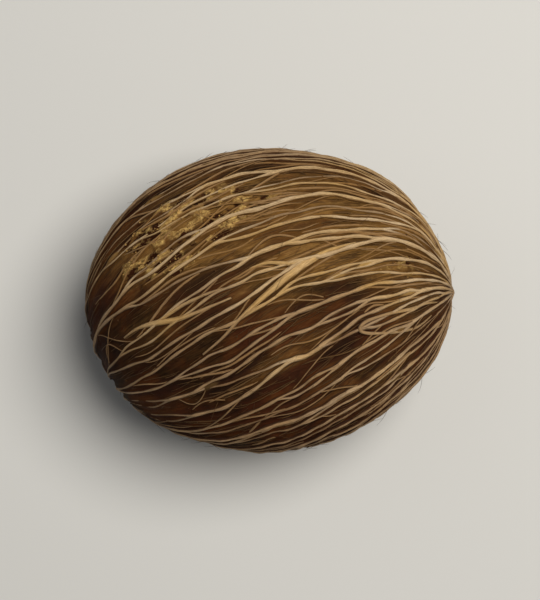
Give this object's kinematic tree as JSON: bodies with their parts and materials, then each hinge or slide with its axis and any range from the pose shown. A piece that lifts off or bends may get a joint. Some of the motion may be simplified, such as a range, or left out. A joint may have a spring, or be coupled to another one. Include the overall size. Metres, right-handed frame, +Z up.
{
  "type": "sea mango pod",
  "caption": "Egg-shaped dried pod with a raised net of tan fibres winding end to end over a dark brown husk, lying on its broad side.",
  "frame": {"origin": "middle of the pod's outline seen from above, on the surface that it rests on", "axes": "+X the long way of the pod towards its tip end, +Y across its width, +Z up through its depth, the shortest way"},
  "size_m": [0.0752, 0.0618, 0.0503],
  "materials": {
    "husk": "dry matt corky fibre, tan crests over a dark brown husk"
  },
  "bodies": {
    "root": {"pod": "husk"}
  },
  "joints": []
}
